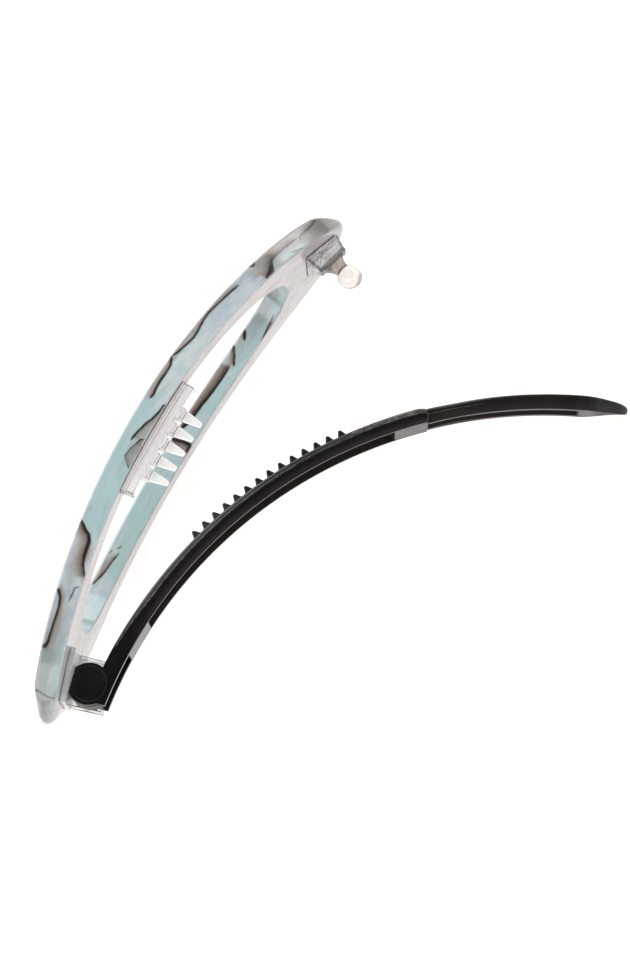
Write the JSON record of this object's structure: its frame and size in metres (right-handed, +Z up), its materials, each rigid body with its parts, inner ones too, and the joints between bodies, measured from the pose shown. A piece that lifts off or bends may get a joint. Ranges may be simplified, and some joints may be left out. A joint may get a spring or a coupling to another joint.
{
  "type": "hair barrette",
  "caption": "Open hair barrette: a marbled, bowed oval frame with a long slot, a clear comb, a clear ball catch and a curved black toothed arm on a clear hinge.",
  "frame": {"origin": "middle of the floor under the open clip", "axes": "+X along the chord of the bow from the hinge end to the catch end, +Y towards the outside of the bow, +Z up"},
  "size_m": [0.1116, 0.0805, 0.0383],
  "materials": {
    "marbled_acetate": "polished marbled acetate, pale blue-green, grey and pearl with thin dark veins",
    "clear_plastic": "clear moulded plastic, glossy, frosted on the comb's teeth",
    "black_plastic": "satin black moulded plastic"
  },
  "bodies": {
    "frame": {"bow": "marbled_acetate", "comb": "clear_plastic", "hinge_bracket": "clear_plastic", "catch": "clear_plastic"},
    "arm": {"arm": "black_plastic"}
  },
  "joints": [
    {"name": "arm_hinge", "type": "hinge", "parent": "frame", "child": "arm", "pos_m": [-0.04614, 0.02156, 0.01392], "axis": [-0.0457, -0.2587, 0.9649], "range_deg": [-50, 21.3]}
  ]
}
